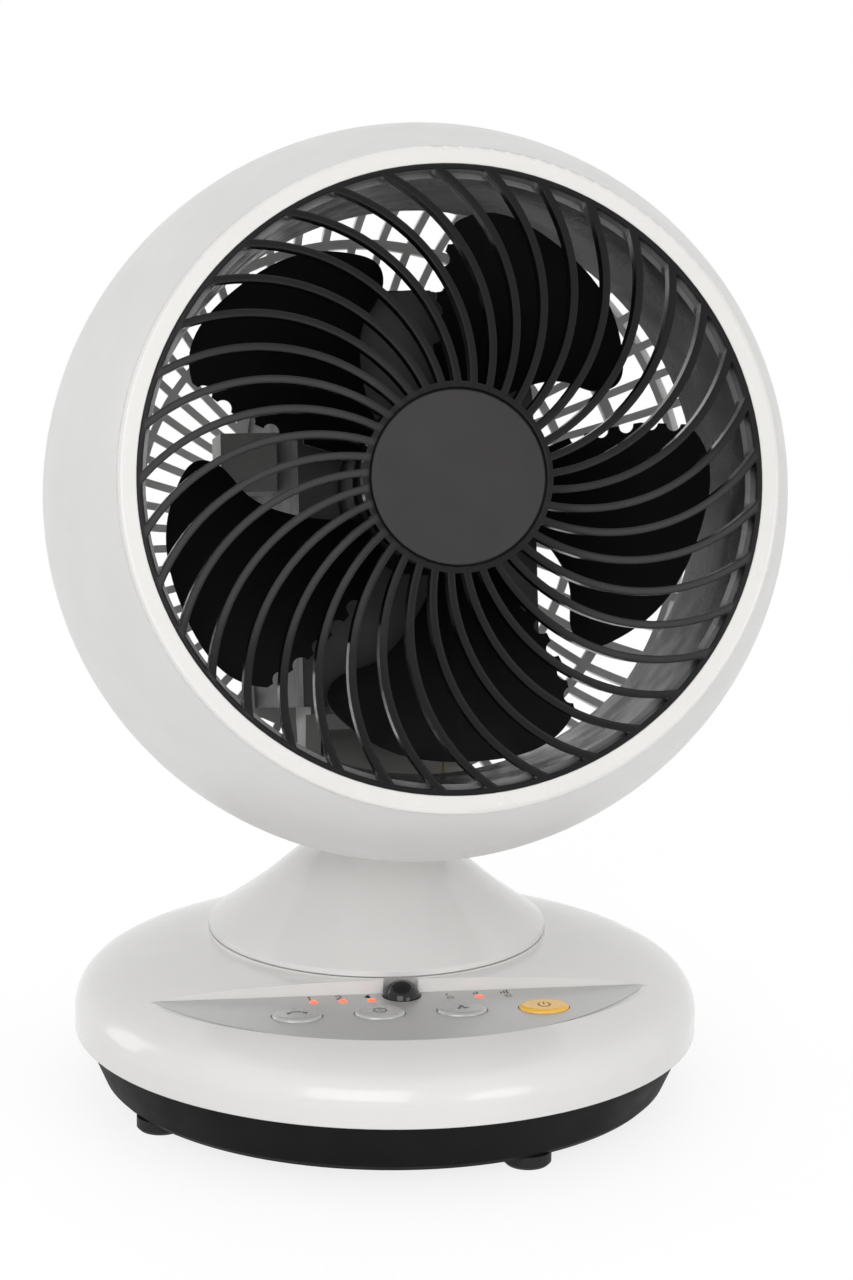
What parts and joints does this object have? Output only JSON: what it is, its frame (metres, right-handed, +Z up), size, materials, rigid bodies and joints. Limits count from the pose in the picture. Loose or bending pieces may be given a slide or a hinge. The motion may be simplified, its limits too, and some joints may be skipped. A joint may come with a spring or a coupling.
{
  "type": "air circulator fan",
  "caption": "Desk air circulator: ball-shaped fan head with curved-rib grille that tilts and oscillates on a round base with a key panel.",
  "frame": {"origin": "middle of the whole part's bounding box seen from above, on the surface the rubber feet stand on", "axes": "+Z up, -Y towards the front (the grille and the key panel), +X to the right seen from the front"},
  "size_m": [0.266, 0.2954, 0.3809],
  "materials": {
    "gloss_white": "glossy",
    "shell_white": "satin",
    "tray_black": "satin",
    "foot_rubber": "matte",
    "grille_black": "glossy",
    "impeller_black": "satin",
    "cap_grey": "satin",
    "duct_grey": "satin",
    "pod_grey": "matte",
    "panel_silver": "satin",
    "key_grey": "glossy",
    "key_orange": "glossy",
    "dome_black": "glossy",
    "led_red": "glossy",
    "led_clear": "glossy",
    "board_green": "satin",
    "part_black": "satin",
    "steel": "brushed",
    "zinc": "satin",
    "iron": "matte",
    "light_grey": "satin",
    "acetal": "satin",
    "copper": "glossy",
    "brass": "satin"
  },
  "bodies": {
    "base": {"base_bottom_cover": "tray_black", "base_top_shell": "gloss_white", "rubber_feet": "foot_rubber", "base_screws": "steel", "base_weight": "iron", "cord_inlet": "part_black", "chassis_screws": "steel", "swivel_housing": "part_black", "thrust_washer": "acetal", "oscillation_motor": "zinc", "control_panel_overlay": "panel_silver", "ir_receiver_dome": "dome_black", "ir_receiver": "part_black", "timer_leds": "led_red", "medium_speed_led": "led_red", "idle_speed_leds": "led_clear", "control_board": "board_green", "control_board_screws": "steel", "tact_switches": "part_black", "power_supply_board": "board_green", "transformer": "iron"},
    "drive": {"oscillation_motor_shaft": "steel", "drive_pinion": "acetal"},
    "neck": {"turntable": "acetal", "turntable_retainer": "acetal", "turntable_screws": "steel", "neck_shell": "gloss_white", "tilt_stem": "light_grey", "friction_washers": "brass"},
    "head": {"tilt_bracket": "light_grey", "tilt_pivot_bolt": "steel", "tilt_pivot_nut": "steel", "rear_shell": "shell_white", "front_shell": "shell_white", "shell_screws": "steel", "pod_screws": "steel", "bezel_ring": "gloss_white", "air_duct": "duct_grey", "duct_screws": "steel", "front_grille": "grille_black", "grille_cap": "cap_grey", "motor_housing": "pod_grey", "run_capacitor": "light_grey", "motor_can": "zinc", "motor_front_shield": "zinc", "motor_screws": "steel", "motor_bearings": "steel", "stator_core": "iron", "stator_windings": "copper"},
    "rotor": {"rotor_core": "iron", "rotor_shaft": "steel", "impeller": "impeller_black", "impeller_nut": "impeller_black"},
    "oscillation_key": {"osc_button": "key_grey"},
    "timer_key": {"timer_button": "key_grey"},
    "speed_key": {"speed_button": "key_grey"},
    "power_key": {"power_button": "key_orange"}
  },
  "joints": [
    {"name": "oscillation", "type": "hinge", "parent": "base", "child": "neck", "pos_m": [0, 0.05309, 0.044], "axis": [0, 0, 1], "range_deg": [-45, 45]},
    {"name": "pinion_turn", "type": "hinge", "parent": "base", "child": "drive", "pos_m": [0.045, 0.05309, 0.044], "axis": [0, 0, 1], "range_deg": [-185, 185]},
    {"name": "tilt", "type": "hinge", "parent": "neck", "child": "head", "pos_m": [0, 0.05309, 0.122], "axis": [-1, 0, 0], "range_deg": [-15, 30]},
    {"name": "impeller_spin", "type": "hinge", "parent": "head", "child": "rotor", "pos_m": [0, -0.06644, 0.25548], "axis": [0, -0.9659, 0.2588], "continuous": true},
    {"name": "osc_press", "type": "slide", "parent": "base", "child": "oscillation_key", "axis": [0, 0, -1], "range_m": [0, 0.0008], "stiffness_N_per_m": 800, "springref_m": -0.0005},
    {"name": "timer_press", "type": "slide", "parent": "base", "child": "timer_key", "axis": [0, 0, -1], "range_m": [0, 0.0008], "stiffness_N_per_m": 800, "springref_m": -0.0005},
    {"name": "speed_press", "type": "slide", "parent": "base", "child": "speed_key", "axis": [0, 0, -1], "range_m": [0, 0.0008], "stiffness_N_per_m": 800, "springref_m": -0.0005},
    {"name": "power_press", "type": "slide", "parent": "base", "child": "power_key", "axis": [0, 0, -1], "range_m": [0, 0.0008], "stiffness_N_per_m": 800, "springref_m": -0.0005}
  ],
  "couplings": [
    {"joint": "pinion_turn", "follows": "oscillation", "ratio": -4}
  ]
}
